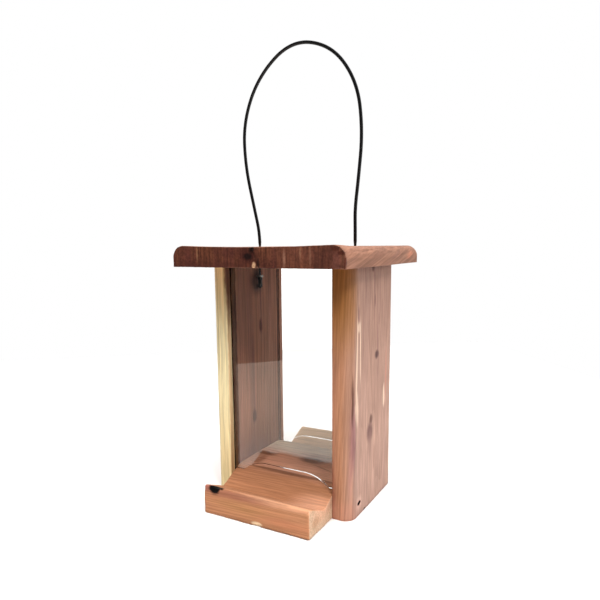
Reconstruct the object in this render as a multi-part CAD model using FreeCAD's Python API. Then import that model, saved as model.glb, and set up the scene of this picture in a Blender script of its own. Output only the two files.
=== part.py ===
"""Hopper bird feeder in solid cedar, hung from a coated steel cable.

Two upright side panels are nailed to the ends of a base board.  Two clear windows drop into
grooves in the panels and close the seed hopper at the front and the back.  A low arch in the
bottom edge of each window lets the seed run down into a trough cut across the base.  The roof
is one flat board with two holes: it rests on the panels and slides up the cable for filling.

Frame in millimetres: origin at the middle of the base underside, +X to the right,
-Y to the front, +Z up.
"""

import FreeCAD
import Part

import math
import os

Vector = FreeCAD.Vector

# Side panels
side_thickness = 19.0
side_depth = 103.0
side_height = 226.0
side_round = 11.0
inner_width = 110.0

# Roof board
roof_width = 170.0
roof_depth = 179.0
roof_thickness = 18.0
roof_round = 11.0
roof_hole_diameter = 5.0

# Base board with its two seed troughs
base_depth = 190.0
base_thickness = 28.0
trough_depth = 13.0
trough_angle = 24.5
lip_round = 2.5

# Windows and the grooves that hold them
window_thickness = 2.5
window_face_clearance = 0.35
window_end_clearance = 0.5
window_top_clearance = 0.5
window_seat_clearance = 0.1
groove_depth = 6.0
groove_setback = 7.2

# Seed outlet, the arch in the bottom edge of a window
outlet_width = 89.0
outlet_rise = 9.8
outlet_ramp_angle = 34.0
outlet_round = 36.0

# Nails through the panels into the base
nail_diameter = 2.5
nail_length = 45.0
nail_point_length = 4.0
nail_head_diameter = 3.4
nail_head_height = 1.6
nail_set_depth = 1.2
nail_spacing = 68.0
nail_height = 12.0

# Cable, its stop sleeves and its staples
cable_diameter = 2.4
cable_standoff = 2.6
cable_setback = 3.5
cable_end_length = 1.0
stop_diameter = 4.6
stop_length = 10.0
stop_crimp_depth = 0.5
stop_crimp_width = 5.0
staple_wire_width = 1.6
staple_wire_thickness = 1.0
staple_width = 7.0
staple_leg_depth = 12.0
staple_point_length = 2.0
staple_bend_radius = 0.8
staple_drop = 12.5
staple_clearance = 0.1

# Free loop of the cable, as (x, rise above the roof top), between its two holes
loop_points = [
    (-56.5, 36.0),
    (-66.5, 79.5),
    (-68.5, 122.0),
    (-50.5, 162.0),
    (-13.5, 189.0),
    (28.0, 178.0),
    (53.5, 143.5),
    (59.0, 100.5),
    (55.0, 58.0),
    (52.0, 33.0),
]
loop_lead = 13.0
arc_share = 0.45

# Heights and places that follow from the sizes above
panel_inner_x = inner_width / 2
panel_outer_x = panel_inner_x + side_thickness
roof_top = side_height + roof_thickness
trough_slope = math.tan(math.radians(trough_angle))
trough_half_width = trough_depth / trough_slope
trough_y = base_depth / 2 - trough_half_width
trough_floor = base_thickness - trough_depth
groove_y = side_depth / 2 - groove_setback
groove_width = window_thickness + 2 * window_face_clearance
window_inner_y = groove_y - window_thickness / 2
cable_x = panel_inner_x - cable_standoff
staple_z = side_height - staple_drop
stop_top = staple_z - staple_wire_width / 2 - staple_clearance
stop_bottom = stop_top - stop_length


def floor_height(y):
    """Height of the base board's top at a distance y from the middle."""
    rise = abs(abs(y) - trough_y) * trough_slope
    return min(base_thickness, trough_floor + rise)


def corner_arc(before, corner, after, radius):
    """Start, middle and end of the arc of that radius tangent to both runs at a corner."""
    back = (before - corner).normalize()
    ahead = (after - corner).normalize()
    half_angle = back.getAngle(ahead) / 2
    reach = radius / math.tan(half_angle)
    inward = (back + ahead).normalize()
    middle = corner + inward * (radius / math.sin(half_angle) - radius)
    return corner + back * reach, middle, corner + ahead * reach


def rounded_wire(points, radii, closed):
    """Straight runs through the points, joined by tangent arcs; a radius of 0 stays sharp."""
    count = len(points)
    edges = []
    last_end = None
    first_start = None
    for index, point in enumerate(points):
        start = middle = end = point
        is_end_point = not closed and index in (0, count - 1)
        if radii[index] > 0 and not is_end_point:
            before = points[index - 1]
            after = points[(index + 1) % count]
            start, middle, end = corner_arc(before, point, after, radii[index])
        if last_end is not None and last_end.distanceToPoint(start) > 1e-6:
            edges.append(Part.LineSegment(last_end, start).toShape())
        if end.distanceToPoint(start) > 1e-6:
            edges.append(Part.Arc(start, middle, end).toShape())
        if first_start is None:
            first_start = start
        last_end = end
    if closed and last_end.distanceToPoint(first_start) > 1e-6:
        edges.append(Part.LineSegment(last_end, first_start).toShape())
    return Part.Wire(edges)


def extruded(points, radii, direction):
    """A closed outline with rounded corners, carried straight along a direction."""
    return Part.Face(rounded_wire(points, radii, True)).extrude(direction)


def round_tube(path, diameter):
    """A round bar of that diameter swept along a path of lines and arcs."""
    first = path.OrderedEdges[0]
    start = first.valueAt(first.FirstParameter)
    along = first.tangentAt(first.FirstParameter)
    section = Part.Wire(Part.Circle(start, along, diameter / 2).toShape())
    return path.makePipeShell([section], True, False)


def mirrored(shape):
    """The same shape on the left side."""
    return shape.mirror(Vector(0, 0, 0), Vector(1, 0, 0))


def make_base_board():
    """Board with a V-shaped seed trough across it at the front and at the back."""
    front = -base_depth / 2
    half_ridge = trough_y - trough_half_width
    outline = [
        (front, 0),
        (front, base_thickness),
        (-trough_y, trough_floor),
        (-half_ridge, base_thickness),
        (half_ridge, base_thickness),
        (trough_y, trough_floor),
        (-front, base_thickness),
        (-front, 0),
    ]
    radii = [0, lip_round, 0, 0, 0, 0, lip_round, 0]
    points = [Vector(-panel_inner_x, y, z) for y, z in outline]
    return extruded(points, radii, Vector(inner_width, 0, 0))


def make_side_panel():
    """Right panel: two rounded outer edges, and two window grooves in its inner face."""
    edge = side_depth / 2
    groove_bottom = panel_inner_x + groove_depth
    near = groove_y - groove_width / 2
    far = groove_y + groove_width / 2
    outline = [
        (panel_outer_x, -edge, side_round),
        (panel_outer_x, edge, side_round),
        (panel_inner_x, edge, 0),
        (panel_inner_x, far, 0),
        (groove_bottom, far, 0),
        (groove_bottom, near, 0),
        (panel_inner_x, near, 0),
        (panel_inner_x, -near, 0),
        (groove_bottom, -near, 0),
        (groove_bottom, -far, 0),
        (panel_inner_x, -far, 0),
        (panel_inner_x, -edge, 0),
    ]
    points = [Vector(x, y, 0) for x, y, radius in outline]
    radii = [radius for x, y, radius in outline]
    return extruded(points, radii, Vector(0, 0, side_height))


def make_window(side):
    """Clear sheet standing in the grooves, with the seed outlet in its bottom edge."""
    bottom = floor_height(window_inner_y) + window_seat_clearance
    top = side_height - window_top_clearance
    half_width = panel_inner_x + groove_depth - window_end_clearance
    half_outlet = outlet_width / 2
    half_crown = half_outlet - outlet_rise / math.tan(math.radians(outlet_ramp_angle))
    crown = bottom + outlet_rise
    outline = [
        (-half_width, bottom, 0),
        (-half_width, top, 0),
        (half_width, top, 0),
        (half_width, bottom, 0),
        (half_outlet, bottom, 0),
        (half_crown, crown, outlet_round),
        (-half_crown, crown, outlet_round),
        (-half_outlet, bottom, 0),
    ]
    face_y = side * groove_y - window_thickness / 2
    points = [Vector(x, face_y, z) for x, z, radius in outline]
    radii = [radius for x, z, radius in outline]
    return extruded(points, radii, Vector(0, window_thickness, 0))


def make_roof_board():
    """Flat board with its two side edges rounded on top, and a cable hole at each side."""
    half_width = roof_width / 2
    front = -roof_depth / 2
    outline = [
        (-half_width, side_height, 0),
        (half_width, side_height, 0),
        (half_width, roof_top, roof_round),
        (-half_width, roof_top, roof_round),
    ]
    points = [Vector(x, front, z) for x, z, radius in outline]
    radii = [radius for x, z, radius in outline]
    board = extruded(points, radii, Vector(0, roof_depth, 0))
    for x in (-cable_x, cable_x):
        foot = Vector(x, cable_setback, side_height)
        board = board.cut(Part.makeCylinder(roof_hole_diameter / 2, roof_thickness, foot))
    return board


def make_base_nails():
    """Two finishing nails, turned about X, set below the right panel's outer face."""
    head_x = panel_outer_x - nail_set_depth
    neck_x = head_x - nail_head_height
    tip_x = head_x - nail_length
    outline = [
        (head_x, 0),
        (head_x, nail_head_diameter / 2),
        (neck_x, nail_diameter / 2),
        (tip_x + nail_point_length, nail_diameter / 2),
        (tip_x, 0),
    ]
    points = [Vector(x, radius, 0) for x, radius in outline]
    face = Part.Face(Part.makePolygon(points + points[:1]))
    nail = face.revolve(Vector(0, 0, 0), Vector(1, 0, 0), 360)
    places = [Vector(0, side * nail_spacing / 2, nail_height) for side in (-1, 1)]
    return Part.makeCompound([nail.translated(place) for place in places])


def make_nail_set_holes():
    """The short holes that the nail heads leave in the right panel's outer face."""
    holes = []
    for side in (-1, 1):
        foot = Vector(panel_outer_x - nail_set_depth, side * nail_spacing / 2, nail_height)
        holes.append(Part.makeCylinder(nail_head_diameter / 2, nail_set_depth, foot, Vector(1, 0, 0)))
    return Part.makeCompound(holes)


def make_cable_staple():
    """Flat-wire staple over the cable, its pointed legs driven into the right panel."""
    crown_inside = cable_x - cable_diameter / 2 - staple_clearance
    crown_outside = crown_inside - staple_wire_thickness
    tip = panel_inner_x + staple_leg_depth
    shoulder = tip - staple_point_length
    near = cable_setback - staple_width / 2
    far = cable_setback + staple_width / 2
    outline = [
        (shoulder, near, 0),
        (crown_outside, near, staple_bend_radius),
        (crown_outside, far, staple_bend_radius),
        (shoulder, far, 0),
        (tip, far - staple_wire_thickness, 0),
        (crown_inside, far - staple_wire_thickness, 0),
        (crown_inside, near + staple_wire_thickness, 0),
        (tip, near + staple_wire_thickness, 0),
    ]
    bottom = staple_z - staple_wire_width / 2
    points = [Vector(x, y, bottom) for x, y, radius in outline]
    radii = [radius for x, y, radius in outline]
    return extruded(points, radii, Vector(0, 0, staple_wire_width))


def make_cable_stop():
    """Sleeve crimped on the right cable end, pressed in at its waist, just below the staple."""
    outer = stop_diameter / 2
    waist = outer - stop_crimp_depth
    inner = cable_diameter / 2
    crimp_start = (stop_length - stop_crimp_width) / 2
    crimp_end = crimp_start + stop_crimp_width
    outline = [
        (inner, 0),
        (outer, 0),
        (outer, crimp_start),
        (waist, crimp_start + stop_crimp_depth),
        (waist, crimp_end - stop_crimp_depth),
        (outer, crimp_end),
        (outer, stop_length),
        (inner, stop_length),
    ]
    points = [Vector(radius, 0, height) for radius, height in outline]
    face = Part.Face(Part.makePolygon(points + points[:1]))
    sleeve = face.revolve(Vector(0, 0, 0), Vector(0, 0, 1), 360)
    return sleeve.translated(Vector(cable_x, cable_setback, stop_bottom))


def make_cable_tail():
    """Straight end of the cable, from below its stop up through the roof to the roof top."""
    bottom = stop_bottom - cable_end_length
    foot = Vector(cable_x, cable_setback, bottom)
    return Part.makeCylinder(cable_diameter / 2, roof_top - bottom, foot)


def make_cable_loop():
    """Free loop of the cable: straight runs with arcs as large as each pair of runs allows."""
    ends = [(-cable_x, 0), (-cable_x, loop_lead)], [(cable_x, loop_lead), (cable_x, 0)]
    route = ends[0] + loop_points + ends[1]
    points = [Vector(x, cable_setback, roof_top + rise) for x, rise in route]
    radii = [0]
    for before, corner, after in zip(points, points[1:], points[2:]):
        shorter = min(before.distanceToPoint(corner), corner.distanceToPoint(after))
        half_turn = (corner - before).getAngle(after - corner) / 2
        radii.append(arc_share * shorter / math.tan(half_turn))
    radii.append(0)
    path = rounded_wire(points, radii, False)
    loop = round_tube(path, cable_diameter)
    section = math.pi * cable_diameter**2 / 4
    print("loop radii", [round(radius) for radius in radii[1:-1]])
    print("loop length %.1f" % path.Length)
    print("loop volume over section times length %.4f" % (loop.Volume / (section * path.Length)))
    return loop


def make_parts():
    """Every node of the feeder and its shape."""
    nails = make_base_nails()
    staple = make_cable_staple()
    panel = make_side_panel().cut(nails).cut(make_nail_set_holes()).cut(staple)
    stop = make_cable_stop()
    tail = make_cable_tail()
    return {
        "base_board": make_base_board().cut(nails).cut(mirrored(nails)),
        "left_side_panel": mirrored(panel),
        "right_side_panel": panel,
        "front_window": make_window(-1),
        "back_window": make_window(1),
        "roof_board": make_roof_board(),
        "left_base_nails": mirrored(nails),
        "right_base_nails": nails,
        "left_cable_staple": mirrored(staple),
        "right_cable_staple": staple,
        "left_cable_stop": mirrored(stop),
        "right_cable_stop": stop,
        "left_cable_tail": mirrored(tail),
        "right_cable_tail": tail,
        "cable_loop": make_cable_loop(),
    }


os.makedirs("parts", exist_ok=True)
for name, shape in make_parts().items():
    box = shape.BoundBox
    print(
        "%-18s solids %d valid %s volume %.1f  x %.1f..%.1f  y %.1f..%.1f  z %.1f..%.1f"
        % (
            name,
            len(shape.Solids),
            shape.isValid(),
            shape.Volume,
            box.XMin,
            box.XMax,
            box.YMin,
            box.YMax,
            box.ZMin,
            box.ZMax,
        )
    )
    shape.exportStep("parts/%s.step" % name)
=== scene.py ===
import math

import bpy
import numpy as np
from mathutils import Matrix, Vector


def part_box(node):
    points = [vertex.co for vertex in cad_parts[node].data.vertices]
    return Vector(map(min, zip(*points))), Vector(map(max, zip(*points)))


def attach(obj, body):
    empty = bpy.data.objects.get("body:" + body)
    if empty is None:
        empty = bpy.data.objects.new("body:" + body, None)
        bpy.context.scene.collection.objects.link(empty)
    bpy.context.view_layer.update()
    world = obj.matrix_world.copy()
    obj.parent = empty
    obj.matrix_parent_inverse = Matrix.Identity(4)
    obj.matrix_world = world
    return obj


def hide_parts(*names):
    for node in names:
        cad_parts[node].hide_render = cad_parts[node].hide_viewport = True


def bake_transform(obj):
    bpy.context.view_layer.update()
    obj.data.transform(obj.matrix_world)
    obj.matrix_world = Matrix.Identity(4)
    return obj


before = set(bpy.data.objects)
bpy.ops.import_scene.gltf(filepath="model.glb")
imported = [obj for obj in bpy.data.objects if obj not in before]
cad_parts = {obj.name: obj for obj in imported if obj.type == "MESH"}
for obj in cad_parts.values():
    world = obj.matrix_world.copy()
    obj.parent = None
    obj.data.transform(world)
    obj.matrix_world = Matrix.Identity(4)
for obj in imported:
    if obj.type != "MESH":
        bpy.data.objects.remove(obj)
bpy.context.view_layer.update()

# Lengths below are in millimetres in the frame's axes; meshes are written in metres.
mm = 0.001


def node_box(name):
    """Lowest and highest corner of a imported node, in millimetres."""
    low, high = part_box(name)
    return np.array(low) / mm, np.array(high) / mm


roof_low, roof_high = node_box("roof_board")
base_low, base_high = node_box("base_board")
panel_low, panel_high = node_box("right_side_panel")
window_low, window_high = node_box("back_window")
tail_low, tail_high = node_box("right_cable_tail")
nails_low, nails_high = node_box("right_base_nails")

roof_top = roof_high[2]
roof_front = roof_low[1]
roof_right = roof_high[0]
base_top = base_high[2]
base_front = base_low[1]
panel_inner = panel_low[0]
panel_outer = panel_high[0]
cable_radius = (tail_high[0] - tail_low[0]) / 2
cable_x = (tail_high[0] + tail_low[0]) / 2
cable_y = (tail_high[1] + tail_low[1]) / 2
nail_z = (nails_low[2] + nails_high[2]) / 2

# Forms that a box does not give
roof_round = 11.0
roof_cup = 1.4
roof_cup_reach = 45.0
panel_round = 11.0
groove_depth = 6.0
groove_play = 0.35
trough_depth = 13.0
trough_slope = math.tan(math.radians(24.5))
outlet_width = 89.0
outlet_rise = 9.8
outlet_ramp = math.radians(34)
outlet_round = 36.0
outlet_uneven = 4.6
hole_radius = 2.5
lip_round = 2.5
nail_spacing = 68.0
nail_hole_depth = 3.2
nail_hole_floor = 1.9
nail_hole_rim = 2.3
nail_hole_widened = 1.75
nail_hole_lowered = 1.25
coat_extra = 0.38
coat_rubbed = 4.0

# Wear of the boards
grain_relief = 0.10
end_relief = 0.12
end_reach = 2.5
crack_x = 1.5
crack_z = 236.0
crack_lean = 0.4
crack_wander = 0.8
crack_half_width = 0.7
crack_depth = 1.2
torn_start = roof_right - 19
torn_end = roof_right - 5
torn_depth = 1.4
chip_centre = (2.5, base_front, 0.0)
chip_size = (6.0, 3.0, 4.0)
chip_depth = 0.9
knot_centre = (-42.0, base_front, 27.0)
knot_size = (8.0, 4.0, 4.5)
knot_depth = 1.6


# Surfaces


def smooth_step(value, start, end):
    """Rises from 0 at start to 1 at end by t squared times (3 minus 2 t)."""
    t = np.clip((value - start) / (end - start), 0, 1)
    return t * t * (3 - 2 * t)


def soft_noise(points, size, seed):
    """Random heights from -1 to 1 on a lattice of that size, joined by smooth steps between its corners."""
    cells = 24
    table = np.random.default_rng(seed).uniform(-1, 1, (cells, cells, cells))
    place = points / np.asarray(size, float)
    cell = np.floor(place).astype(int)
    share = place - cell
    share = share * share * (3 - 2 * share)
    total = np.zeros(len(points))
    for corner in np.ndindex(2, 2, 2):
        at = (cell + corner) % cells
        weight = np.where(corner, share, 1 - share).prod(axis=1)
        total += weight * table[at[:, 0], at[:, 1], at[:, 2]]
    return total


def mesh_of(name, points, quads):
    """Mesh of quads from points in millimetres."""
    mesh = bpy.data.meshes.new(name)
    mesh.vertices.add(len(points))
    mesh.vertices.foreach_set("co", (points * mm).astype(np.float32).ravel())
    mesh.loops.add(quads.size)
    mesh.loops.foreach_set("vertex_index", quads.astype(np.int32).ravel())
    mesh.polygons.add(len(quads))
    mesh.polygons.foreach_set("loop_start", np.arange(0, quads.size, 4, dtype=np.int32))
    mesh.update(calc_edges=True)
    mesh.validate()
    return mesh


def add_object(name, mesh, sharp_degrees):
    """Object at the origin whose faces shade smoothly, apart from edges sharper than the angle."""
    mesh.shade_smooth()
    mesh.set_sharp_from_angle(angle=math.radians(sharp_degrees))
    piece = bpy.data.objects.new(name, mesh)
    bpy.context.scene.collection.objects.link(piece)
    return piece


def finish_piece(piece, body, slot, nodes, *materials):
    """A piece rides on its body, stands for its nodes and gets its finishes; its slot is not used."""
    for material in materials:
        piece.data.materials.append(material)
    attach(piece, body)
    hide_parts(*nodes)
    return piece


def places(low, high, spacing, ease, *extra):
    """Even places from low to high, closer ones at both ends for a rounded edge, and any extra ones."""
    even = np.linspace(low, high, int(round((high - low) / spacing)) + 1)
    near_edge = ease * np.array([0, 0.06, 0.25, 0.6, 1.0, 1.7])
    found = np.unique(np.concatenate([even, low + near_edge, high - near_edge, *extra]))
    found = found[(found >= low) & (found <= high)]
    keep = np.append(True, np.diff(found) > 1e-4)
    return found[keep]


def box_surface(xs, ys, zs, holes=()):
    """Points and quads of a box surface on three lists of places, each point shared by its faces.

    A hole is a range of places in x and in y: its quads are left out of the top and bottom, and
    a wall of quads joins the two rims.
    """
    shell = np.ones((len(xs), len(ys), len(zs)), bool)
    shell[1:-1, 1:-1, 1:-1] = False
    number = np.full(shell.shape, -1)
    number[shell] = np.arange(shell.sum())
    i, j, k = np.nonzero(shell)
    points = np.stack([xs[i], ys[j], zs[k]], axis=1)

    def sheet(grid, outward, keep=None):
        """Quads between the neighbours of a grid of point numbers, turned round where it faces inward."""
        corners = [grid[:-1, :-1], grid[1:, :-1], grid[1:, 1:], grid[:-1, 1:]]
        quads = np.stack(corners if outward else corners[::-1], axis=-1)
        return quads.reshape(-1, 4) if keep is None else quads[keep]

    solid = np.ones((len(xs) - 1, len(ys) - 1), bool)
    walls = []
    for i0, i1, j0, j1 in holes:
        solid[i0:i1, j0:j1] = False
        wide, deep = i1 - i0, j1 - j0
        around_i = [np.arange(i0, i1), np.full(deep, i1), np.arange(i1, i0, -1), np.full(deep, i0)]
        around_j = [np.full(wide, j0), np.arange(j0, j1), np.full(wide, j1), np.arange(j1, j0, -1)]
        around_i, around_j = np.concatenate(around_i), np.concatenate(around_j)
        low, high = number[around_i, around_j, 0], number[around_i, around_j, -1]
        walls.append(np.stack([low, high, np.roll(high, -1), np.roll(low, -1)], axis=-1))
    quads = [
        sheet(number[:, :, 0], False, solid),
        sheet(number[:, :, -1], True, solid),
        sheet(number[:, 0, :], True),
        sheet(number[:, -1, :], False),
        sheet(number[0, :, :], False),
        sheet(number[-1, :, :], True),
    ]
    return points, np.concatenate(quads + walls)


def eased(points, low, high, ease):
    """Rounds a box's edges: a point is moved to the given distance from the box shrunk by that distance."""
    ease = np.asarray(ease, float).reshape(-1, 1)
    core = np.clip(points, low + ease, high - ease)
    out = points - core
    reach = np.linalg.norm(out, axis=1, keepdims=True)
    return core + out * (ease / np.maximum(reach, 1e-9))


def worn_edges(points, low, high, ease, seed):
    """Eased edges whose radius wanders along them, and how far each point moved, from 0 to 1.

    The radius is the ease times one plus a share of slow and quick noise. An edge at a right angle
    moves by about 0.41 of its radius.
    """
    slow_wear = 23.0
    quick_wear = 6.0
    edge_move = 0.41
    wear = soft_noise(points, slow_wear, seed) + 0.6 * soft_noise(points, quick_wear, seed + 1)
    radius = ease * (1 + 0.55 * np.clip(wear, -1.4, 1.8))
    moved = eased(points, low, high, radius)
    worn = np.linalg.norm(moved - points, axis=1) / (edge_move * ease)
    return moved, np.clip(worn, 0, 1)


def round_drop(distance, start, radius):
    """How far a quarter round of that radius falls below its flat, past the place where it starts."""
    past = np.clip(distance - start, 0, radius)
    return radius - np.sqrt(radius**2 - past**2)


def round_places(start, radius, count=12):
    """Places along a quarter round at even turns, on both sides of the middle."""
    past = start + radius * np.sin(np.linspace(0, math.pi / 2, count))
    return np.concatenate([past, -past])


def near(centre, reach, spacing):
    """Close places around a centre."""
    return centre + np.arange(-reach, reach + spacing / 2, spacing)


def fibres(points, along, seed):
    """Grain relief: noise that is fine across the grain and long along it, two sizes added."""
    coarse = np.full(3, 4.0)
    fine = np.full(3, 1.7)
    coarse[along] = 60.0
    fine[along] = 25.0
    return 0.6 * soft_noise(points, coarse, seed) + 0.4 * soft_noise(points, fine, seed + 1)


def push_in(mesh, depth):
    """Moves each vertex against its normal by its depth in millimetres."""
    count = len(mesh.vertices)
    place = np.empty(count * 3, np.float32)
    normal = np.empty(count * 3, np.float32)
    mesh.vertices.foreach_get("co", place)
    mesh.vertex_normals.foreach_get("vector", normal)
    place = place.reshape(-1, 3) - normal.reshape(-1, 3) * (depth * mm).reshape(-1, 1)
    mesh.vertices.foreach_set("co", place.astype(np.float32).ravel())
    mesh.update()


def keep(mesh, name, values):
    """Keeps a value of each point, such as its wear, as an attribute for its finish."""
    mesh.attributes.new(name, "FLOAT", "POINT").data.foreach_set("value", values.astype(np.float32))


# Finishes


def tone(red, green, blue):
    """Linear colour of a screen colour from 0 to 255."""
    values = np.array([red, green, blue]) / 255
    low, high = values / 12.92, ((values + 0.055) / 1.055) ** 2.4
    return (*np.where(values <= 0.04045, low, high).tolist(), 1.0)


class Finish:
    """The nodes of one material, with short calls that add a node and give its output."""

    def __init__(self, name):
        """Starts from the plain shader, with the place of a point in millimetres and its normal."""
        self.material = bpy.data.materials.new(name)
        self.material.use_nodes = True
        self.tree = self.material.node_tree
        self.shader = self.tree.nodes["Principled BSDF"]
        coordinates = self.tree.nodes.new("ShaderNodeTexCoord")
        self.normal = coordinates.outputs["Normal"]
        self.place = self.vector("MULTIPLY", coordinates.outputs["Object"], (1 / mm,) * 3)

    def put(self, socket, value):
        """Links an output to the socket, or sets a plain value on it."""
        if isinstance(value, bpy.types.NodeSocket):
            self.tree.links.new(value, socket)
        else:
            socket.default_value = value

    def add(self, kind, *values, output=0, **settings):
        """Adds a node with its settings, fills its inputs in their order and gives one output."""
        node = self.tree.nodes.new(kind)
        for key, setting in settings.items():
            setattr(node, key, setting)
        for socket, value in zip(node.inputs, values):
            if value is not None:
                self.put(socket, value)
        return node.outputs[output]

    def math(self, operation, *values):
        """Number from the named operation on the values."""
        return self.add("ShaderNodeMath", *values, operation=operation)

    def vector(self, operation, *values):
        """Vector from the named operation; a length or a dot product is a number."""
        output = 1 if operation in ("LENGTH", "DOT_PRODUCT") else 0
        return self.add("ShaderNodeVectorMath", *values, operation=operation, output=output)

    def noise(self, place, size, detail=2.0, rough=0.5, output=0):
        """Noise that changes over about the given sizes along the three axes."""
        scaled = self.vector("DIVIDE", place, size)
        return self.add("ShaderNodeTexNoise", scaled, None, 1.0, detail, rough, output=output)

    def ramp(self, value, start, end, low=0.0, high=1.0):
        """Smooth step from low at start to high at end; start may be the larger."""
        return self.add("ShaderNodeMapRange", value, start, end, low, high, interpolation_type="SMOOTHSTEP")

    def mix(self, share, first, second, how="MIX"):
        """Colour that goes from the first to the second by the share, or combines them as named."""
        node = self.tree.nodes.new("ShaderNodeMix")
        node.data_type = "RGBA"
        node.blend_type = how
        for index, value in ((0, share), (6, first), (7, second)):
            self.put(node.inputs[index], value)
        return node.outputs[2]

    def set(self, **values):
        """Sets or links the shader's own inputs."""
        for name, value in values.items():
            self.put(self.shader.inputs[name.replace("_", " ")], value)

    def bump(self, height, strength, distance):
        """Relief in the shading from a height, over a distance in millimetres."""
        node = self.tree.nodes.new("ShaderNodeBump")
        node.inputs["Strength"].default_value = strength
        node.inputs["Distance"].default_value = distance * mm
        self.put(node.inputs["Height"], height)
        self.put(self.shader.inputs["Normal"], node.outputs[0])


def cedar(name, along, lean, pith, ring, tones, end_tones, end_size, contrast, marks=(), sap=None):
    """Cedar in the round: growth rings about a pith line along the leaning grain, fibres, flecks and marks.

    Ring number is the wandering distance from the pith over the ring width. Its fraction, raised to a
    power of that ring's own, is the dark late wood. Past the sap radius the wood takes the sap tones.
    The face across the grain takes the end tones by a noise of the end size. A mark is an ellipsoid
    (centre, half sizes, tone, share, softness) in millimetres with a ragged edge, slanted by so much
    in x, y and z for each step along the grain; some marks are painted light or shade. Cuts and
    holes, kept as the deep attribute, are painted dark as shade.
    """
    finish = Finish(name)
    place = finish.place
    long = np.eye(3)[along]
    cross = 1 - long

    # grain that leans and wanders
    far = finish.vector("DOT_PRODUCT", place, tuple(long))
    back = finish.vector("SCALE", tuple(-np.array(lean)), None, None, far)
    straight = finish.vector("ADD", place, back)
    slow = finish.noise(straight, tuple(cross * 30 + long * 170), 2.0, output=1)
    quick = finish.noise(straight, tuple(cross * 7 + long * 60), 2.0, output=1)
    drift = finish.vector("MULTIPLY_ADD", slow, tuple(cross * 12), tuple(cross * -6))
    sway = finish.vector("MULTIPLY_ADD", quick, tuple(cross * 1.0), tuple(cross * -0.5))
    grain = finish.vector("ADD", finish.vector("ADD", straight, drift), sway)

    # growth rings, each with its own strength
    from_pith = finish.vector("MULTIPLY", finish.vector("SUBTRACT", grain, pith), tuple(cross))
    radius = finish.vector("LENGTH", from_pith)
    pace = finish.add("ShaderNodeTexNoise", None, radius, 1 / (7 * ring), 2.0, noise_dimensions="1D")
    phase = finish.math("MULTIPLY_ADD", pace, 3.0, finish.math("DIVIDE", radius, ring))
    own = finish.add("ShaderNodeTexWhiteNoise", None, finish.math("FLOOR", phase), noise_dimensions="1D")
    sharp = finish.math("MULTIPLY_ADD", own, 3.0, 1.2)
    late = finish.math("POWER", finish.math("FRACT", phase), sharp)
    late = finish.math("MULTIPLY", late, finish.math("MULTIPLY_ADD", own, 0.8, 0.2))

    # colour of the clear wood
    light, dark, flush = tones
    colour = finish.mix(finish.math("MULTIPLY", late, contrast), light, dark)
    band = finish.ramp(finish.noise(straight, tuple(cross * 13 + long * 260), 3.0), 0.42, 0.7)
    colour = finish.mix(finish.math("MULTIPLY", band, 0.6), colour, flush)
    if sap:
        sap_radius, sap_light, sap_dark = sap
        sap_share = finish.ramp(radius, sap_radius - 0.8, sap_radius + 0.8)
        sap_colour = finish.mix(finish.math("MULTIPLY", late, 0.7), sap_light, sap_dark)
        colour = finish.mix(sap_share, colour, sap_colour)
    hair = finish.noise(straight, tuple(cross * 1.5 + long * 60), 5.0, 0.65)
    streak = finish.noise(straight, tuple(cross * 4.0 + long * 150), 3.0, 0.55)
    fine_shade = finish.ramp(hair, 0.3, 0.7, 0.78, 1.18)
    broad_shade = finish.ramp(streak, 0.3, 0.7, 1 - 0.2 * contrast, 1 + 0.14 * contrast)
    shade = finish.math("MULTIPLY", fine_shade, broad_shade)
    fleck = finish.ramp(finish.noise(straight, tuple(cross * 0.5 + long * 8), 2.0), 0.66, 0.74)
    shade = finish.math("MULTIPLY_ADD", fleck, -0.14, shade)

    # face across the grain
    end_light, end_dark, end_flush = end_tones
    facing = finish.math("ABSOLUTE", finish.vector("DOT_PRODUCT", finish.normal, tuple(long)))
    pores = finish.ramp(finish.noise(place, end_size, 4.0, 0.65), 0.34, 0.66)
    patch = finish.ramp(finish.noise(place, tuple(np.array(end_size) * 5), 2.0), 0.42, 0.66, 0.0, 0.7)
    end_colour = finish.mix(patch, finish.mix(pores, end_light, end_dark), end_flush)
    colour = finish.mix(finish.ramp(facing, 0.6, 0.9), colour, end_colour)

    # knots, streaks, stains, and painted light and shade
    rag = finish.noise(place, tuple(cross * 2.4 + long * 10), 3.0, 0.6, output=1)
    for centre, size, paint, share, softness, *slant in marks:
        wander = np.minimum(np.array(size) * 0.9, 3.0)
        ragged = finish.vector("MULTIPLY_ADD", rag, tuple(wander), tuple(wander * -0.5))
        offset = finish.vector("SUBTRACT", finish.vector("ADD", place, ragged), centre)
        if slant:
            past = finish.vector("DOT_PRODUCT", offset, tuple(long))
            aside = finish.vector("SCALE", tuple(slant), None, None, past)
            offset = finish.vector("SUBTRACT", offset, aside)
        reach = finish.vector("LENGTH", finish.vector("DIVIDE", offset, size))
        mask = finish.ramp(reach, 1 + softness, 1 - softness, 0.0, share)
        colour = finish.mix(mask, colour, paint)

    # painted shade in cuts and holes, worn edges, relief and gloss
    deep = finish.add("ShaderNodeAttribute", attribute_name="deep", output=2)
    colour = finish.mix(finish.ramp(deep, 0.02, 0.14), colour, recess_shade)
    worn = finish.add("ShaderNodeAttribute", attribute_name="worn", output=2)
    shade = finish.math("MULTIPLY_ADD", worn, 0.12, shade)
    shade_colour = finish.add("ShaderNodeCombineXYZ", shade, shade, shade)
    colour = finish.mix(1.0, colour, shade_colour, "MULTIPLY")
    height = finish.math("MULTIPLY_ADD", late, -0.35, hair)
    rough = finish.ramp(hair, 0.3, 0.7, 0.72, 0.58)
    finish.set(Base_Color=colour, Roughness=rough, Specular_IOR_Level=0.2)
    finish.bump(height, 0.3, 0.25)
    return finish.material


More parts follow.
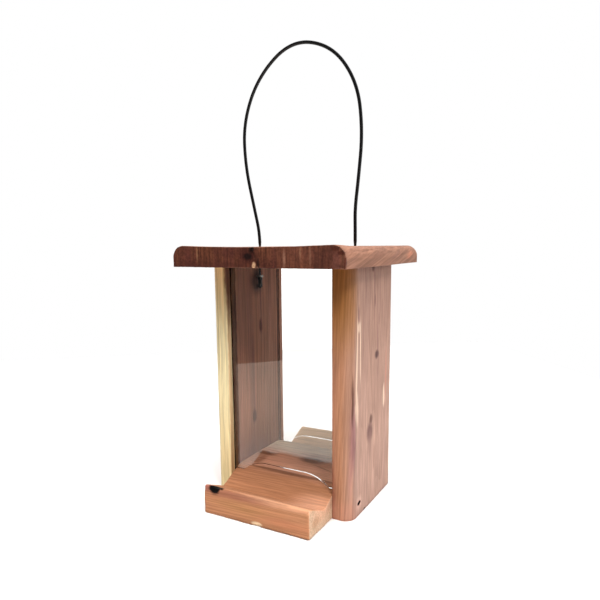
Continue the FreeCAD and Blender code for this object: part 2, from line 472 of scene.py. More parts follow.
def clear_sheet():
    """Clear acrylic: smooth and see-through, with the plastic's own index and hardly a tint."""
    finish = Finish("clear_sheet")
    finish.set(Base_Color=(0.985, 0.99, 0.985, 1), Roughness=0.015, IOR=1.46, Transmission_Weight=1.0)
    return finish.material


def cable_coat():
    """Black plastic coat: near black with a soft gloss that changes along it."""
    finish = Finish("cable_coat")
    scuff = finish.noise(finish.place, (1.2, 1.2, 3.0), 3.0)
    colour = finish.mix(scuff, tone(6, 6, 7), tone(16, 16, 17))
    rough = finish.ramp(scuff, 0.3, 0.7, 0.4, 0.6)
    finish.set(Base_Color=colour, Roughness=rough, Specular_IOR_Level=0.35)
    finish.bump(scuff, 0.15, 0.05)
    return finish.material


def metal(name, bright, dull, rough_low, rough_high):
    """Drawn metal: two tones by a fine noise, and its roughness from the same noise."""
    finish = Finish(name)
    patch = finish.noise(finish.place, (0.8, 0.8, 0.8), 4.0, 0.6)
    colour = finish.mix(finish.ramp(patch, 0.35, 0.65), dull, bright)
    rough = finish.ramp(patch, 0.3, 0.7, rough_high, rough_low)
    finish.set(Base_Color=colour, Metallic=1.0, Roughness=rough)
    finish.bump(patch, 0.2, 0.05)
    return finish.material


def nail_rust():
    """Dark oxide on the nails: two near black tones by a fine noise, with hardly any gloss."""
    finish = Finish("nail_rust")
    patch = finish.noise(finish.place, (0.8, 0.8, 0.8), 4.0, 0.6)
    colour = finish.mix(finish.ramp(patch, 0.35, 0.65), tone(26, 10, 6), tone(10, 5, 4))
    finish.set(Base_Color=colour, Roughness=0.9, Specular_IOR_Level=0.1)
    finish.bump(patch, 0.2, 0.05)
    return finish.material


cream = tone(240, 208, 168)
wedge_cream = tone(238, 208, 182)
knot_black = tone(4, 3, 3)
purple = tone(118, 78, 74)
dark_patch = tone(40, 24, 18)
# painted shade, near black, for cuts and holes
recess_shade = tone(26, 7, 4)
panel_end = (tone(176, 126, 96), tone(136, 88, 66), tone(160, 110, 84))
panel_end_size = (3.0, 3.0, 20.0)

roof_finish = cedar(
    "roof_cedar", along=1, lean=(0.0, 0.0, 0.25), pith=(-1.0, 0.0, 262.5), ring=4.6, contrast=0.8,
    tones=(tone(146, 102, 80), tone(102, 64, 49), tone(128, 88, 70)),
    end_tones=(tone(108, 63, 45), tone(68, 36, 25), tone(88, 46, 40)), end_size=(2.4, 30.0, 34.0),
    marks=[
        # broad pale and dark patches of the front
        ((40.0, roof_front, 237.0), (20.0, 5.0, 10.0), tone(122, 74, 62), 0.25, 0.7),
        ((70.0, roof_front, 234.0), (12.0, 5.0, 12.0), tone(66, 34, 32), 0.45, 0.6),
        ((-48.0, roof_front, 226.5), (36.0, 5.0, 6.0), tone(64, 30, 26), 0.5, 0.7),
        ((14.0, roof_front, 227.5), (12.0, 5.0, 6.0), tone(66, 30, 28), 0.5, 0.7),
        ((-22.0, roof_front, 240.0), (13.0, 5.0, 5.0), tone(70, 34, 32), 0.4, 0.7),
        # knot in the front, with the crack and a pale chip below it
        ((-4.0, roof_front, 236.0), (9.0, 5.0, 8.0), tone(62, 26, 24), 0.7, 0.6),
        ((-4.0, roof_front, 235.5), (4.5, 5.0, 3.0), tone(16, 6, 8), 0.9, 0.5),
        ((-0.5, roof_front, 242.0), (2.6, 5.0, 3.6), tone(12, 5, 4), 0.9, 0.5),
        ((6.0, roof_front, 229.0), (1.3, 5.0, 4.5), tone(30, 16, 12), 0.85, 0.5),
        ((1.6, roof_front, 227.8), (1.7, 3.0, 2.8), tone(196, 156, 122), 0.9, 0.4),
        # pale rays of the front
        ((-57.5, roof_front, 237.5), (0.9, 3.0, 6.5), tone(156, 112, 82), 0.45, 0.6),
        ((30.8, roof_front, 233.5), (1.2, 3.0, 6.5), tone(160, 114, 94), 0.6, 0.7),
        ((45.5, roof_front, 239.0), (0.8, 3.0, 5.0), tone(150, 104, 80), 0.6, 0.7),
        ((54.4, roof_front, 236.0), (0.9, 3.0, 7.0), tone(146, 100, 80), 0.5, 0.7),
        # right front corner, dark along its bruised edge
        ((roof_right, -80.0, 234.0), (5.0, 9.0, 9.0), tone(152, 106, 84), 0.45, 0.6),
        ((77.0, roof_front, 231.0), (3.4, 2.0, 8.0), tone(120, 72, 62), 0.45, 0.6),
        ((roof_right, -89.2, 230.5), (1.6, 1.8, 5.0), tone(78, 36, 26), 0.8, 0.4),
        ((81.6, -89.2, 238.6), (3.4, 1.8, 1.6), tone(62, 24, 16), 0.8, 0.4),
        ((76.0, -89.2, 241.6), (3.0, 1.8, 1.4), tone(70, 30, 20), 0.7, 0.5),
        # streaks of the right side, slanted with the grain
        ((roof_right, 66.0, 234.5), (5.0, 10.0, 2.6), tone(184, 116, 88), 0.6, 0.6, 0.0, 0.0, 0.25),
        ((roof_right, 30.0, 236.5), (5.0, 17.0, 1.6), tone(108, 74, 64), 0.4, 0.6, 0.0, 0.0, 0.25),
    ],
)
base_finish = cedar(
    "base_cedar", along=0, lean=(0.0, 0.01, 0.03), pith=(0.0, 60.0, -120.0), ring=2.4, contrast=0.25,
    tones=(tone(186, 128, 90), tone(158, 102, 68), tone(172, 116, 86)),
    end_tones=(tone(208, 178, 149), tone(194, 160, 130), tone(200, 164, 136)), end_size=(7.0, 5.0, 6.0),
    marks=[
        # front trough darker and ridge paler; the ridge's right part painted lighter as light against the
        # shade there, and the back half painted pale as light and sheen from the backdrop
        ((0.0, -50.0, 22.0), (90.0, 25.0, 14.0), tone(150, 99, 73), 0.4, 0.4),
        ((0.0, -14.0, base_top), (90.0, 24.0, 6.0), tone(196, 142, 120), 0.65, 0.4),
        ((44.0, -18.0, base_top), (26.0, 18.0, 6.0), tone(222, 164, 134), 0.75, 0.7),
        ((0.0, 37.0, base_top), (90.0, 25.0, 9.0), tone(255, 234, 204), 0.95, 0.45),
        ((0.0, 82.0, 22.0), (90.0, 34.0, 30.0), tone(228, 203, 172), 0.75, 0.4),
        # front face, its lip and the slope behind it; a painted highlight along the rounded lip, and
        # painted light on the slope at its right end
        ((-14.0, base_front, 13.0), (26.0, 3.0, 6.0), tone(176, 126, 80), 0.5, 0.7),
        ((34.0, base_front, 9.0), (24.0, 3.0, 4.0), tone(190, 122, 88), 0.5, 0.7),
        ((24.0, -92.8, 26.4), (44.0, 4.6, 4.4), tone(222, 166, 132), 0.6, 0.55),
        ((44.0, -72.0, 17.0), (20.0, 16.0, 9.0), tone(232, 174, 142), 0.6, 0.7),
        ((-24.0, base_front, 23.4), (34.0, 3.5, 3.6), tone(152, 92, 76), 0.6, 0.6),
        ((-52.5, -94.0, 26.5), (5.5, 5.0, 4.4), tone(146, 88, 82), 0.7, 0.5),
        ((-55.4, base_front, 14.0), (1.3, 6.0, 20.0), tone(92, 60, 54), 0.6, 0.5),
        # painted shade along the ridge's front edge, under the front window's outlet
        ((2.0, -37.8, base_top), (48.0, 2.3, 6.0), tone(92, 56, 40), 0.7, 0.4),
        # black knot in the lip, shaded foot and pale chip
        ((-43.2, -94.0, 25.6), (6.0, 4.0, 5.4), knot_black, 1.0, 0.25),
        ((-36.6, -94.5, 27.2), (3.6, 3.0, 1.6), knot_black, 0.95, 0.4),
        ((0.0, base_front, -1.5), (80.0, 6.0, 3.2), tone(120, 80, 56), 0.5, 0.5),
        ((2.5, base_front, 2.6), (5.4, 2.5, 2.0), cream, 0.95, 0.3),
        # knot, scratch and darker patches on the ridge, most of them at its left end
        ((8.6, 1.0, base_top), (14.0, 6.5, 5.0), tone(70, 38, 26), 0.9, 0.45),
        ((-45.0, -3.0, base_top), (11.0, 4.5, 5.0), tone(84, 50, 32), 0.8, 0.6),
        ((-41.0, -21.0, base_top), (4.5, 12.0, 5.0), tone(104, 62, 42), 0.6, 0.6),
        ((-51.0, -24.0, base_top), (6.0, 20.0, 5.0), tone(150, 112, 84), 0.45, 0.6),
        ((26.0, -12.0, base_top), (11.0, 0.8, 3.0), tone(104, 68, 50), 0.6, 0.6, 0.0, -0.33, 0.0),
        # spot on the right end
        ((55.0, -82.5, 11.5), (4.0, 6.0, 4.0), tone(178, 132, 96), 0.6, 0.6),
    ],
)
left_finish = cedar(
    "left_panel_cedar", along=2, lean=(0.0, 0.01, 0.0), pith=(-20.0, 40.0, 0.0), ring=3.2, contrast=0.9,
    tones=(tone(190, 133, 104), tone(133, 86, 68), tone(170, 117, 98)),
    end_tones=panel_end, end_size=panel_end_size,
    marks=[
        # inner face, painted shade at its foot near the base, and pale in its middle
        ((-panel_inner, -4.0, 16.0), (1.5, 36.0, 50.0), tone(76, 28, 14), 0.75, 0.7),
        ((-panel_inner, 22.0, 110.0), (3.0, 16.0, 50.0), tone(206, 160, 134), 0.3, 0.7),
        # painted shade in lines along both grooves
        ((-54.0, -40.6, 113.0), (8.0, 5.0, 400.0), tone(66, 26, 17), 0.92, 0.2),
        ((-panel_inner, 40.6, 113.0), (8.0, 1.3, 400.0), tone(40, 20, 12), 0.75, 0.4),
        # front edge darker and yellower at its top, partly the wood's tone and partly painted shade under
        # the roof, and yellow at its foot; the strip of the inner face before the groove painted darker as
        # shade; dark heartwood beside the groove at the top
        ((-63.0, -50.0, 236.0), (30.0, 12.0, 46.0), tone(190, 142, 82), 0.6, 0.8),
        ((-63.0, -52.0, 14.0), (30.0, 9.0, 60.0), tone(222, 188, 124), 0.4, 0.8),
        ((-53.6, -49.0, 110.0), (2.1, 4.4, 400.0), tone(196, 152, 106), 0.7, 0.3),
        ((-53.6, -48.0, 250.0), (4.8, 8.0, 76.0), tone(74, 32, 26), 0.9, 0.3),
        # knots and the streaks that run from them
        ((-panel_inner, 7.0, 162.0), (30.0, 2.8, 7.0), tone(104, 48, 30), 0.95, 0.5),
        ((-panel_inner, 8.0, 178.0), (20.0, 0.8, 26.0), purple, 0.6, 0.6),
        ((-panel_inner, -7.8, 68.5), (30.0, 3.4, 7.0), tone(52, 20, 16), 0.9, 0.5),
        ((-panel_inner, -8.0, 105.0), (20.0, 2.4, 50.0), purple, 0.55, 0.7),
        ((-panel_inner, -16.0, 170.0), (20.0, 1.2, 40.0), purple, 0.4, 0.7),
        # dark patch around the staple
        ((-panel_inner, 1.0, 209.0), (5.0, 10.0, 13.0), dark_patch, 0.75, 0.5),
    ],
    sap=(93.0, tone(238, 225, 182), tone(212, 188, 135)),
)
right_finish = cedar(
    "right_panel_cedar", along=2, lean=(0.04, 0.02, 0.0), pith=(-40.0, 12.0, 0.0), ring=3.6, contrast=0.5,
    tones=(tone(184, 146, 128), tone(152, 112, 96), tone(176, 140, 127)),
    end_tones=panel_end, end_size=panel_end_size,
    marks=[
        # face painted darker towards its top as shade under the roof, and the front edge's own tones
        ((panel_outer, 5.0, 250.0), (40.0, 90.0, 110.0), tone(140, 102, 86), 0.6, 0.9),
        ((62.0, -60.0, 115.0), (40.0, 15.6, 900.0), tone(178, 130, 104), 0.75, 0.12),
        ((50.0, -60.0, 115.0), (21.0, 15.0, 900.0), tone(174, 120, 86), 0.7, 0.2),
        ((53.0, -56.0, 100.0), (6.0, 12.0, 300.0), tone(164, 106, 84), 0.45, 0.5),
        # top of the front edge darker and yellower, partly the wood's tone and partly painted shade under
        # the roof
        ((62.0, -55.0, 192.0), (40.0, 12.5, 32.0), tone(176, 122, 44), 0.35, 0.8),
        ((62.0, -55.0, 236.0), (40.0, 12.5, 58.0), tone(112, 66, 4), 0.88, 0.8),
        # painted shadow of the roof along the top of the face
        ((panel_outer, -5.0, 229.0), (12.0, 60.0, 7.0), tone(96, 60, 46), 0.5, 0.6),
        # painted shade at the front edge's foot, beside the base
        ((54.5, -52.0, 14.0), (3.4, 8.0, 42.0), tone(116, 64, 50), 0.6, 0.5),
        # painted shade on the back round and along the foot, and a redder patch near the front foot
        ((72.0, 49.0, 113.0), (12.0, 5.0, 600.0), tone(112, 92, 84), 0.7, 0.35),
        ((70.0, 0.0, -1.5), (40.0, 90.0, 3.2), tone(116, 80, 72), 0.5, 0.5),
        ((62.0, -52.0, 6.0), (30.0, 16.0, 10.0), tone(196, 134, 112), 0.35, 0.7),
        # dark streaks near the front edge
        ((panel_outer, -45.6, 76.0), (6.0, 3.0, 30.0), tone(132, 88, 92), 0.75, 0.6),
        ((panel_outer, -48.0, 42.0), (6.0, 2.0, 22.0), tone(158, 110, 108), 0.4, 0.6),
        ((panel_outer, -46.3, 110.0), (4.0, 1.1, 22.0), tone(92, 56, 50), 0.85, 0.4),
        # pale wedges of sapwood, and the tones beside them
        ((panel_outer, -41.0, 142.0), (5.0, 1.2, 40.0), wedge_cream, 0.8, 0.4, 0.0, 0.03, 0.0),
        ((panel_outer, -40.2, 101.0), (5.0, 2.6, 15.0), wedge_cream, 0.6, 0.4),
        ((panel_outer, -36.8, 174.0), (5.0, 3.0, 4.4), wedge_cream, 0.5, 0.5),
        ((panel_outer, -33.4, 152.0), (5.0, 1.1, 28.0), wedge_cream, 0.85, 0.4),
        ((panel_outer, -37.7, 185.0), (4.0, 1.6, 7.0), tone(116, 78, 72), 0.75, 0.5),
        ((panel_outer, 25.6, 98.6), (5.0, 2.2, 11.5), wedge_cream, 0.95, 0.3),
        ((panel_outer, 31.0, 120.0), (5.0, 1.4, 23.0), tone(190, 118, 98), 0.6, 0.6),
        # knots and the streaks that run from them
        ((70.0, 5.9, 143.0), (30.0, 4.4, 3.8), tone(78, 46, 44), 0.95, 0.5),
        ((70.0, 8.0, 158.0), (30.0, 1.0, 16.0), purple, 0.6, 0.6),
        ((70.0, 8.7, 129.0), (30.0, 1.5, 12.0), purple, 0.35, 0.6),
        ((70.0, 0.2, 194.0), (30.0, 1.4, 5.5), purple, 0.75, 0.5),
        ((70.0, -1.5, 212.0), (30.0, 1.2, 14.0), purple, 0.45, 0.6),
        ((70.0, -5.0, 224.5), (30.0, 3.4, 3.4), tone(78, 42, 34), 0.85, 0.6),
        ((70.0, -9.9, 72.0), (30.0, 6.6, 8.5), tone(94, 56, 56), 0.85, 0.6),
        ((70.0, -7.0, 84.0), (30.0, 3.6, 4.2), tone(100, 64, 54), 0.85, 0.5),
        ((70.0, -9.7, 60.0), (30.0, 3.6, 14.0), tone(150, 114, 102), 0.65, 0.6),
        # pale spot and black speck near the foot
        ((panel_outer, -34.0, 12.0), (4.0, 5.5, 6.0), tone(232, 188, 170), 0.6, 0.6),
        ((panel_outer, -21.5, 0.5), (4.0, 2.2, 1.8), knot_black, 0.9, 0.4),
    ],
)
sheet_finish = clear_sheet()
coat_finish = cable_coat()
nail_finish = nail_rust()
staple_finish = metal("staple_steel", tone(150, 146, 140), tone(96, 92, 86), 0.3, 0.5)
stop_finish = metal("stop_metal", tone(70, 68, 66), tone(34, 33, 32), 0.35, 0.6)


# Roof board


def make_roof():
    """Board whose top falls away in a quarter round at both sides, with two cable holes through it.

    Towards the front the top is cupped across the grain, as a square of the distance from the middle.
    Points around a hole are drawn from squares to circles. The front is pressed in by fine ridges, by
    a leaning crack, as a bell of the distance from its line, and by shreds at its right corner.
    """
    flat = roof_right - roof_round
    ease = 0.6
    rim = np.linspace(-hole_radius, hole_radius, 9)
    close = [round_places(flat, roof_round), cable_x + rim, -cable_x + rim, near(crack_x, 7, 0.5)]
    xs = places(roof_low[0], roof_right, 1.8, ease, *close)
    ys = places(roof_front, roof_high[1], 4.5, ease, cable_y + rim)
    zs = places(roof_low[2], roof_top, 2.0, ease)

    def index(values, low, high):
        """Numbers of the places at which a range starts and ends."""
        return np.searchsorted(values, low - 1e-6), np.searchsorted(values, high - 1e-6)

    rows = index(ys, cable_y - hole_radius, cable_y + hole_radius)
    holes = [
        (*index(xs, x - hole_radius, x + hole_radius), *rows) for x in (-cable_x, cable_x)
    ]
    points, quads = box_surface(xs, ys, zs, holes)
    points, worn = worn_edges(points, roof_low, roof_high, ease, 11)
    for x in (-cable_x, cable_x):
        offset = points[:, :2] - (x, cable_y)
        square = np.abs(offset).max(axis=1)
        circle = np.linalg.norm(offset, axis=1)
        drawn = 1 - smooth_step(square, hole_radius, 4 * hole_radius)
        scale = 1 + drawn * (square / np.maximum(circle, 1e-9) - 1)
        points[:, :2] = (x, cable_y) + offset * scale[:, None]
    height = (points[:, 2] - roof_low[2]) / (roof_top - roof_low[2])
    at_front = smooth_step(points[:, 1], roof_front + roof_cup_reach, roof_front)
    cup = roof_cup * at_front * np.minimum(np.abs(points[:, 0]) / flat, 1) ** 2 - roof_cup / 2
    points[:, 2] += height * (cup - round_drop(np.abs(points[:, 0]), flat, roof_round))
    mesh = mesh_of("roof_board_cedar", points, quads)
    keep(mesh, "worn", worn)
    depth = grain_relief * fibres(points, 1, 21)
    front = smooth_step(points[:, 1], roof_front + end_reach, roof_front)
    ridges = soft_noise(points, (2.2, 9, 60), 41)
    crack = crack_x + crack_lean * (crack_z - points[:, 2]) + crack_wander * soft_noise(points, 3, 31)
    split = np.exp(-((points[:, 0] - crack) / crack_half_width) ** 2)
    shreds = np.clip(soft_noise(points, (2.0, 4, 2.0), 51), 0, 1)
    torn = smooth_step(points[:, 0], torn_start, torn_end) * shreds
    depth += front * (end_relief * ridges + crack_depth * split + torn_depth * torn)
    at_hole = np.hypot(np.abs(points[:, 0]) - cable_x, points[:, 1] - cable_y) < 1.6 * hole_radius
    depth[at_hole] = 0
    push_in(mesh, depth)
    piece = add_object("roof_board_cedar", mesh, 40)
    return finish_piece(piece, "roof", "roof_cedar", ["roof_board"], roof_finish)


# Base board

trough_half = trough_depth / trough_slope
valley = base_high[1] - trough_half
ridge = valley - trough_half


def trough_top(y):
    """Height of the base top: a V from the lip down to the trough and up to the flat ridge."""
    rise = np.abs(np.abs(y) - valley) * trough_slope
    return base_top - trough_depth + np.minimum(rise, trough_depth)


def make_base():
    """Thick board whose heights are scaled to the trough's height at each depth, with worn edges.

    The chip and the dent at the knot are pressed in, each by its distance from an ellipsoid's centre.
    """
    ease = 1.7
    xs = places(base_low[0], base_high[0], 2.0, ease)
    ys = places(base_front, base_high[1], 1.6, lip_round, [valley, -valley, ridge, -ridge])
    zs = places(base_low[2], base_top, 2.4, lip_round)
    points, quads = box_surface(xs, ys, zs)
    at_edge = np.abs(points[:, 1]) > base_high[1] - 2 * lip_round
    lip = at_edge & (points[:, 2] > base_top - 2 * lip_round)
    points, worn = worn_edges(points, base_low, base_high, np.where(lip, lip_round, ease), 12)
    points[:, 2] *= trough_top(points[:, 1]) / base_top
    mesh = mesh_of("base_board_cedar", points, quads)
    keep(mesh, "worn", worn)
    depth = grain_relief * fibres(points, 0, 22)
    chip = np.linalg.norm((points - chip_centre) / chip_size, axis=1)
    knot = np.linalg.norm((points - knot_centre) / knot_size, axis=1)
    depth += chip_depth * (1 - smooth_step(chip, 0.4, 1.0))
    depth += knot_depth * (1 - smooth_step(knot, 0.5, 1.0))
    push_in(mesh, depth)
    piece = add_object("base_board_cedar", mesh, 40)
    return finish_piece(piece, "feeder", "base_cedar", ["base_board"], base_finish)


# Side panels


def make_panel(side, name, finish, seed):
    """Upright board: its outer face falls away in quarter rounds, its inner face has two grooves.

    The thickness between the two faces is stretched from the box to these profiles. The hole over the
    front nail is pressed into the outer face, as an oval that is wider than high, with a steep rim.
    The one over the back nail is filled flush.
    """
    ease = 0.6
    half = panel_high[1]
    flat = half - panel_round
    groove_near = window_low[1] - groove_play
    groove_far = window_high[1] + groove_play
    wall = 0.01
    groove = np.array([groove_near - wall, groove_near, groove_far, groove_far + wall])
    nail_places = near(-nail_spacing / 2, 5.6, 0.4)
    xs = places(panel_inner, panel_outer, 4.0, ease)
    ys = places(-half, half, 1.7, ease, round_places(flat, panel_round), groove, -groove, nail_places)
    zs = places(panel_low[2], panel_high[2], 4.5, ease, near(nail_z, 3.2, 0.4))
    points, quads = box_surface(xs, ys, zs)
    points, worn = worn_edges(points, panel_low, panel_high, ease, seed)
    across = np.abs(points[:, 1])
    share = (points[:, 0] - panel_inner) / (panel_outer - panel_inner)
    cut = groove_depth * ((across > groove_near - wall / 2) & (across < groove_far + wall / 2))
    drop = round_drop(across, flat, panel_round)
    points[:, 0] += (1 - share) * cut - share * drop
    depth = grain_relief * fibres(points, 2, seed + 10)
    nail_side = points[:, 1] + nail_spacing / 2
    nail_rise = points[:, 2] - nail_z
    nail_gap = np.hypot(nail_side / nail_hole_widened, nail_rise * nail_hole_lowered)
    nail_hole = (1 - smooth_step(nail_gap, nail_hole_floor, nail_hole_rim)) * (share > 0.99)
    depth += nail_hole_depth * nail_hole
    if side < 0:
        points[:, 0] *= -1
        quads = quads[:, ::-1]
    mesh = mesh_of(name, points, quads)
    keep(mesh, "worn", worn)
    # the grooves and the front nail hole are marked deep, and their finish paints them dark as shade
    keep(mesh, "deep", np.maximum(nail_hole, (cut > 0) & (share < 0.01)))
    push_in(mesh, depth)
    piece = add_object(name, mesh, 40)
    word = "right" if side > 0 else "left"
    return finish_piece(piece, "feeder", word + "_panel_cedar", [word + "_side_panel"], finish)


# Windows


def outlet_edge(x):
    """Height of a window's bottom edge: a flat crown, an arc, a straight ramp and the straight foot.

    The hand-cut right half runs on a little further than the left one.
    """
    foot = window_low[2]
    x = np.where(x > 0, np.maximum(x - outlet_uneven, 0), x)
    half = outlet_width / 2
    crown_half = half - outlet_rise / math.tan(outlet_ramp) - outlet_round * math.tan(outlet_ramp / 2)
    past = np.clip(np.abs(x) - crown_half, 0, outlet_round * math.sin(outlet_ramp))
    arch = foot + outlet_rise - outlet_round + np.sqrt(outlet_round**2 - past**2)
    ramp = foot + (half - np.abs(x)) * math.tan(outlet_ramp)
    return np.maximum(np.minimum(arch, ramp), foot)


def make_window(side, name, node):
    """Clear sheet with finely rounded edges, its foot drawn up to the outlet's edge."""
    ease = 0.2
    low, high = window_low, window_high
    half = outlet_width / 2
    xs = places(low[0], high[0], 1.5, ease, [half + outlet_uneven, -half])
    ys = places(low[1], high[1], 2.5, ease)
    zs = places(low[2], high[2], 12.0, ease)
    points, quads = box_surface(xs, ys, zs)
    points = eased(points, low, high, ease)
    lift = (high[2] - points[:, 2]) / (high[2] - low[2])
    points[:, 2] += lift * (outlet_edge(points[:, 0]) - low[2])
    if side < 0:
        points[:, 1] *= -1
        quads = quads[:, ::-1]
    mesh = mesh_of(name, points, quads)
    piece = add_object(name, mesh, 50)
    piece.visible_shadow = False
    return finish_piece(piece, "feeder", "clear_plastic", [node], sheet_finish)


# Cable


def spline_line(points, steps=20):
    """Points along the smooth NURBS line that a route's points guide, in metres."""
    curve = bpy.data.curves.new("route", "CURVE")
    curve.dimensions = "3D"
    spline = curve.splines.new("NURBS")
    spline.points.add(len(points) - 1)
    spline.points.foreach_set("co", [value for point in points for value in (*point, 1.0)])
    spline.order_u = 3
    spline.use_endpoint_u = True
    spline.resolution_u = steps
    holder = bpy.data.objects.new("route", curve)
    bpy.context.scene.collection.objects.link(holder)
    line = bpy.data.meshes.new_from_object(holder)
    found = np.empty(len(line.vertices) * 3, np.float32)
    line.vertices.foreach_get("co", found)
    bpy.data.objects.remove(holder)
    bpy.data.curves.remove(curve)
    bpy.data.meshes.remove(line)
    return found.reshape(-1, 3).astype(float)


def tube_surface(line, radius, sides=18):
    """Round tube along a line in one plane: a ring of points at each point's radius.

    Quads join each ring to the next, and a strip of quads across it closes the ring at each end.
    """
    along = np.gradient(line, axis=0)
    along /= np.linalg.norm(along, axis=1, keepdims=True)
    flat = np.array([0.0, 1.0, 0.0])
    beside = np.cross(along, flat)
    turn = np.linspace(0, 2 * math.pi, sides, endpoint=False)
    rim = beside[:, None, :] * np.cos(turn)[None, :, None] + flat * np.sin(turn)[None, :, None]
    rings = line[:, None, :] + radius[:, None, None] * rim
    number = np.arange(len(rings) * sides).reshape(len(rings), sides)
    beyond = np.roll(number, -1, axis=1)
    around = np.stack([number[1:], beyond[1:], beyond[:-1], number[:-1]], axis=-1).reshape(-1, 4)
    one = np.arange(sides // 2 - 1)
    strip = np.stack([one, one + 1, sides - 2 - one, sides - 1 - one], axis=-1)
    quads = np.concatenate([around, number[0][strip], number[-1][strip[:, ::-1]]])
    return rings.reshape(-1, 3), quads


def make_cable(name, route, node, fuller):
    """Coated cable along a route, drawn through the roof.

    Its coat is fuller by so much away from its ends, where the holes have rubbed it.
    """
    line = spline_line([(x * mm, cable_y * mm, z * mm) for x, z in route])
    run = np.append(0, np.cumsum(np.linalg.norm(np.diff(line, axis=0), axis=1)))
    length = run[-1]
    from_end = np.minimum(run, length - run) / mm
    radius = cable_radius + fuller * smooth_step(from_end, 0, coat_rubbed)
    points, quads = tube_surface(line / mm, radius)
    piece = add_object(name, mesh_of(name, points, quads), 50)
    piece.data.materials.append(coat_finish)
    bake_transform(piece)
    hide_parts(node)
    return piece


loop_rises = [
    (-cable_x, 0), (-cable_x, 13), (-57.8, 36), (-67.8, 79.5), (-68.8, 122), (-50.5, 162), (-13.5, 189),
    (28, 178), (53.5, 143.5), (59, 100.5), (55, 58), (52, 33), (cable_x, 13), (cable_x, 0),
]
loop_route = [(x, roof_top + rise) for x, rise in loop_rises]
make_cable(
    "cable_loop_coated", loop_route, "cable_loop",
    fuller=coat_extra,
)
tail_heights = (roof_top, (roof_top + tail_low[2]) / 2, tail_low[2])
for side, word in ((-1, "left"), (1, "right")):
    tail_route = [(side * cable_x, height) for height in tail_heights]
    make_cable(
        word + "_cable_tail_coated", tail_route, word + "_cable_tail",
        fuller=0.0,
    )

# Boards and windows in their places
make_roof()
make_base()
make_panel(-1, "left_side_panel_cedar", left_finish, 13)
make_panel(1, "right_side_panel_cedar", right_finish, 14)
make_window(-1, "front_window_sheet", "front_window")
make_window(1, "back_window_sheet", "back_window")


def repaint(node, material):
    """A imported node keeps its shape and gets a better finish."""
    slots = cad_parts[node].data.materials
    slots.clear()
    slots.append(material)


for word in ("left", "right"):
    repaint(word + "_base_nails", nail_finish)
    repaint(word + "_cable_staple", staple_finish)
    repaint(word + "_cable_stop", stop_finish)


# Studio

backdrop_seen = 1.6
backdrop_on_wood = 0.65
room_light = 0.08
backdrop_turn = 2.0
backdrop_start = 0.3
camera_place = (0.257296, -0.472013, 0.244472)
camera_angles = (28.709, 8.684, -0.470)
focal_pixels = 551.124
picture_pixels = 600
sensor = 36


def add_floor():
    """Pale sheet under the feeder, warm at the front left, which the front window mirrors.

    Its corners lie so far across and ahead of the middle, in axes turned from the feeder's. The warm
    tone fades by a smooth step along both.
    """
    near_edge = 0.654
    far_edge = 0.6
    half_length = 0.74
    turn = math.radians(39.4)
    across = np.array([math.cos(turn), math.sin(turn), 0])
    ahead = np.array([-math.sin(turn), math.cos(turn), 0])
    outs = (-near_edge, far_edge, far_edge, -near_edge)
    ons = (-half_length, -half_length, half_length, half_length)
    corners = [out * across + on * ahead for out, on in zip(outs, ons)]
    mesh = bpy.data.meshes.new("floor")
    mesh.from_pydata([tuple(corner) for corner in corners], [], [(0, 1, 2, 3)])
    floor = bpy.data.objects.new("floor", mesh)
    bpy.context.scene.collection.objects.link(floor)
    finish = Finish("pale_floor")
    beside = finish.vector("DOT_PRODUCT", finish.place, tuple(across))
    along = finish.vector("DOT_PRODUCT", finish.place, tuple(ahead))
    pale = finish.math("MAXIMUM", finish.ramp(beside, -260, -80), finish.ramp(along, 0, 200))
    warm_tone = (0.93, 0.79, 0.67, 1)
    pale_tone = (0.95, 0.935, 0.92, 1)
    colour = finish.mix(pale, warm_tone, pale_tone)
    finish.set(Base_Color=colour, Roughness=0.9, Specular_IOR_Level=0.1)
    mesh.materials.append(finish.material)


def add_light(name, place, target, size, power):
    """Square soft light that faces a target."""
    lamp = bpy.data.lights.new(name, "AREA")
    lamp.size = size
    lamp.energy = power
    light = bpy.data.objects.new(name, lamp)
    light.location = place
    light.rotation_euler = (Vector(target) - Vector(place)).to_track_quat("-Z", "Y").to_euler()
    light.visible_glossy = False
    light.visible_camera = False
    light.visible_transmission = False
    bpy.context.scene.collection.objects.link(light)


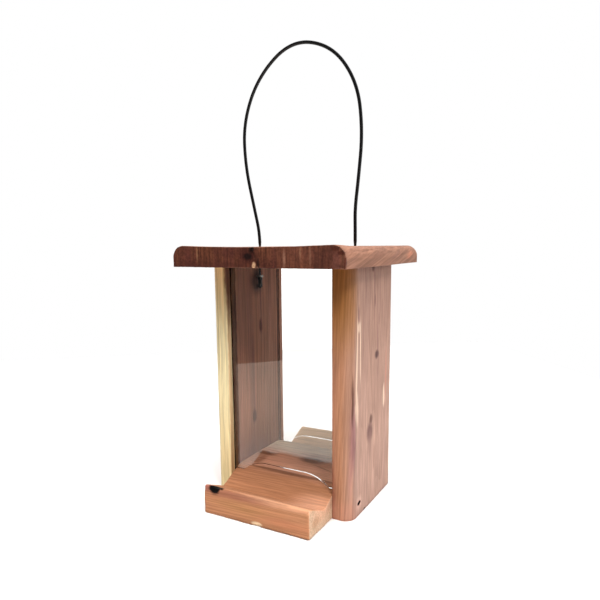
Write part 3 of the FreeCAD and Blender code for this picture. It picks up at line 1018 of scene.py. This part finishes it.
def add_camera():
    """Camera at the photograph's place: its back axis from azimuth and elevation, then a small roll."""
    azimuth, elevation, roll = (math.radians(angle) for angle in camera_angles)
    level = math.cos(elevation)
    back = Vector((math.sin(azimuth) * level, -math.cos(azimuth) * level, math.sin(elevation)))
    right = Vector((math.cos(azimuth), math.sin(azimuth), 0))
    up = back.cross(right)
    rolled_right = right * math.cos(roll) + up * math.sin(roll)
    rolled_up = up * math.cos(roll) - right * math.sin(roll)
    data = bpy.data.cameras.new("camera")
    data.sensor_width = sensor
    data.lens = focal_pixels * sensor / picture_pixels
    data.shift_x = -0.0053
    data.shift_y = 0.0489
    data.clip_start = 0.01
    camera = bpy.data.objects.new("camera", data)
    turn = Matrix((rolled_right, rolled_up, back)).transposed().to_4x4()
    camera.matrix_world = Matrix.Translation(camera_place) @ turn
    bpy.context.scene.collection.objects.link(camera)
    bpy.context.scene.camera = camera


def add_world():
    """White backdrop behind the feeder and a dim room in front of it.

    Strength goes from the room's to the backdrop's as a direction turns to the back. The backdrop is
    less bright as light on the wood than in the windows, and plain white straight to the camera.
    """
    world = bpy.data.worlds.new("studio")
    world.use_nodes = True
    tree = world.node_tree
    path = tree.nodes.new("ShaderNodeLightPath").outputs
    direction = tree.nodes.new("ShaderNodeSeparateXYZ")
    tree.links.new(tree.nodes.new("ShaderNodeTexCoord").outputs["Generated"], direction.inputs[0])

    def math_node(operation, *values):
        """Number from the named operation, its values set or linked."""
        node = tree.nodes.new("ShaderNodeMath")
        node.operation = operation
        for socket, value in zip(node.inputs, values):
            if isinstance(value, bpy.types.NodeSocket):
                tree.links.new(value, socket)
            else:
                socket.default_value = value
        return node.outputs[0]

    behind = math_node("MULTIPLY_ADD", direction.outputs[1], backdrop_turn, backdrop_start)
    behind = math_node("MINIMUM", math_node("MAXIMUM", behind, 0.0), 1.0)
    scattered = math_node("GREATER_THAN", path["Diffuse Depth"], 0.5)
    backdrop = math_node("MULTIPLY_ADD", scattered, backdrop_on_wood - backdrop_seen, backdrop_seen)
    around = math_node("MULTIPLY_ADD", behind, math_node("SUBTRACT", backdrop, room_light), room_light)
    seen = math_node("MULTIPLY", path["Is Camera Ray"], math_node("SUBTRACT", 1.0, around))
    strength = math_node("ADD", around, seen)
    tree.links.new(strength, tree.nodes["Background"].inputs["Strength"])
    tree.nodes["Background"].inputs["Color"].default_value = (1, 1, 1, 1)
    bpy.context.scene.world = world


add_floor()
add_world()
add_light("overhead", place=(0.0, -0.25, 1.6), target=(0, -0.05, 0.1), size=1.1, power=35)
add_light("key", place=(0.9, -0.7, 1.3), target=(0, 0, 0.12), size=0.45, power=16)
add_camera()
bpy.context.scene.view_settings.view_transform = "Standard"
